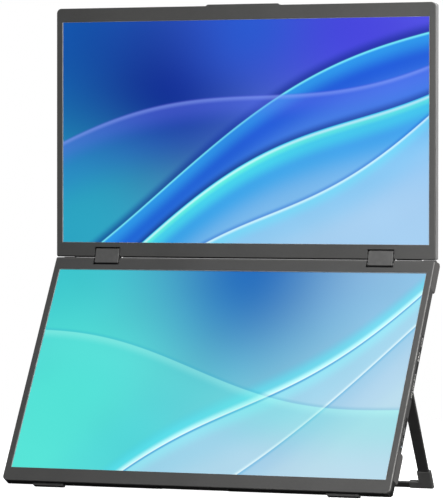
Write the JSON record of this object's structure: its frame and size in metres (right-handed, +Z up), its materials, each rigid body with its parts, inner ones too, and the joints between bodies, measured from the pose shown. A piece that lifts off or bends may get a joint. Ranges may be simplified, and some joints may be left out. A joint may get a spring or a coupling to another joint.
{
  "type": "laptop screen extender",
  "caption": "Stacked screen extender: wide flat displays joined edge to edge by geared hinge blocks, the lower display propped on a fold-out U-shaped kickstand.",
  "frame": {"origin": "centre of the footprint, on the surface the object stands on", "axes": "+Z up, screens face -Y, +X is the viewer's right"},
  "size_m": [0.5448, 0.191, 0.636],
  "materials": {
    "bezel_plastic": "fine-textured dark grey moulded plastic",
    "lower_shell": "fine-textured dark grey moulded plastic",
    "upper_shell": "satin light grey moulded plastic",
    "screen": "display panel behind a semi-gloss polariser",
    "optical_sheet": "clear and white optical plastic",
    "sheet_aluminium": "pressed sheet",
    "circuit_board": "green solder mask",
    "black_plastic": "black moulded plastic",
    "steel": "plain steel",
    "plated_steel": "nickel plated",
    "brass": "machined",
    "rubber": "soft black rubber",
    "guard_plastic": "grey moulded plastic",
    "stand_metal": "black powder coat",
    "hinge_cover": "dark grey satin coat",
    "light_pipe": "clear"
  },
  "bodies": {
    "lower_display": {"lower_bezel": "bezel_plastic", "lower_rear_cover": "lower_shell", "lower_lcd_panel": "screen", "lower_diffuser": "optical_sheet", "lower_light_guide": "optical_sheet", "lower_led_strip": "circuit_board", "lower_backlight_tray": "sheet_aluminium", "main_board": "circuit_board", "main_board_chips": "black_plastic", "board_screws": "steel", "heat_spreader": "sheet_aluminium", "hdmi_sockets": "plated_steel", "usb_c_sockets": "plated_steel", "audio_jack": "black_plastic", "key_switches": "black_plastic", "status_light_pipe": "light_pipe", "left_speaker": "black_plastic", "right_speaker": "black_plastic", "lower_timing_board": "circuit_board", "lower_flat_cable": "black_plastic", "vesa_inserts": "brass", "lower_cover_screws": "steel", "bottom_feet": "rubber", "back_guards": "guard_plastic", "lower_hinge_arms": "steel", "lower_arm_screws": "steel", "lower_hinge_shafts": "steel", "stand_brackets": "stand_metal", "stand_bracket_screws": "steel", "stand_pins": "steel", "stand_pin_caps": "steel", "rocker_pin": "steel"},
    "upper_display": {"upper_bezel": "bezel_plastic", "upper_rear_cover": "upper_shell", "upper_lcd_panel": "screen", "upper_diffuser": "optical_sheet", "upper_light_guide": "optical_sheet", "upper_led_strip": "circuit_board", "upper_backlight_tray": "sheet_aluminium", "upper_timing_board": "circuit_board", "upper_flat_cable": "black_plastic", "upper_cover_screws": "steel", "upper_hinge_arms": "steel", "upper_arm_screws": "steel", "upper_hinge_shafts": "steel"},
    "hinge_link": {"hinge_front_covers": "hinge_cover", "hinge_rear_covers": "hinge_cover", "hinge_frames": "steel", "friction_washers": "steel", "idler_pins": "steel"},
    "idler_a": {"idler_gears_lower": "brass"},
    "idler_b": {"idler_gears_upper": "brass"},
    "kickstand": {"left_stand_leg": "stand_metal", "right_stand_leg": "stand_metal", "stand_crossbar": "stand_metal", "stand_foot_caps": "rubber"},
    "power_button": {"power_key": "black_plastic"},
    "menu_key": {"menu_rocker": "black_plastic"}
  },
  "joints": [
    {"name": "link_fold", "type": "hinge", "parent": "lower_display", "child": "hinge_link", "pos_m": [0, 0.07153, 0.29281], "axis": [1, 0, 0], "range_deg": [-14.87, 75.13]},
    {"name": "upper_fold", "type": "hinge", "parent": "hinge_link", "child": "upper_display", "pos_m": [0, 0.0743, 0.30325], "axis": [1, 0, 0], "range_deg": [-14.87, 75.13]},
    {"name": "idler_a_spin", "type": "hinge", "parent": "hinge_link", "child": "idler_a", "pos_m": [0, 0.07245, 0.29629], "axis": [1, 0, 0], "range_deg": [-14.9, 75.2]},
    {"name": "idler_b_spin", "type": "hinge", "parent": "hinge_link", "child": "idler_b", "pos_m": [0, 0.07337, 0.29977], "axis": [1, 0, 0], "range_deg": [-75.2, 14.9]},
    {"name": "kickstand_fold", "type": "hinge", "parent": "lower_display", "child": "kickstand", "pos_m": [0, 0.00773, 0.15247], "axis": [1, 0, 0], "range_deg": [-58.93, 20]},
    {"name": "power_button_press", "type": "slide", "parent": "lower_display", "child": "power_button", "axis": [-1, 0, 0], "range_m": [0, 0.0005], "stiffness_N_per_m": 1500, "springref_m": -0.0004},
    {"name": "menu_rocker_tilt", "type": "hinge", "parent": "lower_display", "child": "menu_key", "pos_m": [0.2696, -0.04146, 0.08326], "axis": [0, 0.8684, -0.4959], "range_deg": [-3, 3], "stiffness_Nm_per_rad": 0.12}
  ],
  "couplings": [
    {"joint": "link_fold", "follows": "upper_fold", "ratio": 1},
    {"joint": "idler_a_spin", "follows": "upper_fold", "ratio": 1},
    {"joint": "idler_b_spin", "follows": "upper_fold", "ratio": -1}
  ]
}
